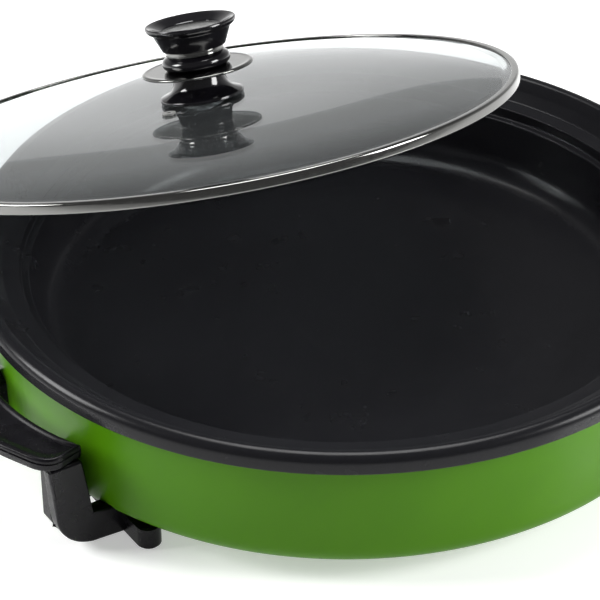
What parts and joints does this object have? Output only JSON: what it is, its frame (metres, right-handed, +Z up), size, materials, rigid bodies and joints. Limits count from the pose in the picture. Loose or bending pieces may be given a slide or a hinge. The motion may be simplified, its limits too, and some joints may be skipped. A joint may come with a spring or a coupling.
{
  "type": "electric griddle pan",
  "caption": "Round electric griddle pan: non-stick pan in a green casing, a grip and leg frame on each side, probe inlet, and a loose glass lid with a cup-shaped knob.",
  "frame": {"origin": "on the pan's axis, in the plane that the feet stand on", "axes": "+Z up along the pan's axis; +X towards the handle with the probe inlet, along the terminal pins; -X towards the other handle; the lid leans down towards +Y"},
  "size_m": [0.498, 0.4922, 0.1906],
  "materials": {
    "nonstick_coating": "cast aluminium with a satin dark grey non-stick coating",
    "green_enamel": "glossy leaf green lacquer on steel sheet",
    "black_resin": "moulded phenolic resin, satin black",
    "foot_rubber": "soft black rubber",
    "seal_silicone": "clear silicone",
    "lid_glass": "clear toughened glass",
    "polished_steel": "polished stainless steel",
    "ceramic": "unglazed steatite",
    "plated_sheet": "zinc-plated steel sheet",
    "element_steel": "stainless steel tube, dull",
    "screw_steel": "zinc-plated screws, nuts and studs"
  },
  "bodies": {
    "base": {"pan": "nonstick_coating", "pan_studs": "screw_steel", "outer_casing": "green_enamel", "base_cover": "plated_sheet", "cover_screws": "screw_steel", "heating_ring": "element_steel", "ring_bends": "element_steel", "cold_ends": "element_steel", "terminal_pins": "element_steel", "pin_insulators": "ceramic", "probe_guide": "element_steel", "clamp_plate": "plated_sheet", "clamp_nuts": "screw_steel", "cover_nuts": "screw_steel", "inlet_shroud": "black_resin", "shroud_screws": "screw_steel", "left_grip": "black_resin", "right_grip": "black_resin", "left_leg_frame": "black_resin", "right_leg_frame": "black_resin", "left_grip_screws": "screw_steel", "right_grip_screws": "screw_steel", "left_backing_plates": "plated_sheet", "right_backing_plates": "plated_sheet", "left_frame_screws": "screw_steel", "right_frame_screws": "screw_steel", "left_bar_screws": "screw_steel", "right_bar_screws": "screw_steel", "left_foot_pads": "foot_rubber", "right_foot_pads": "foot_rubber"},
    "lid": {"lid_glass": "lid_glass", "lid_band": "polished_steel", "vent_grommet": "seal_silicone", "knob_foot": "black_resin", "knob_guard": "polished_steel", "knob_collar": "black_resin", "knob_spacer": "polished_steel", "knob_cup": "black_resin", "knob_insert": "polished_steel", "knob_screw": "screw_steel", "knob_washer": "screw_steel", "knob_gaskets": "seal_silicone"}
  },
  "joints": [
    {"name": "lid_lift", "type": "slide", "parent": "base", "child": "lid", "axis": [0, 0, 1], "range_m": [0, 0.22]}
  ]
}
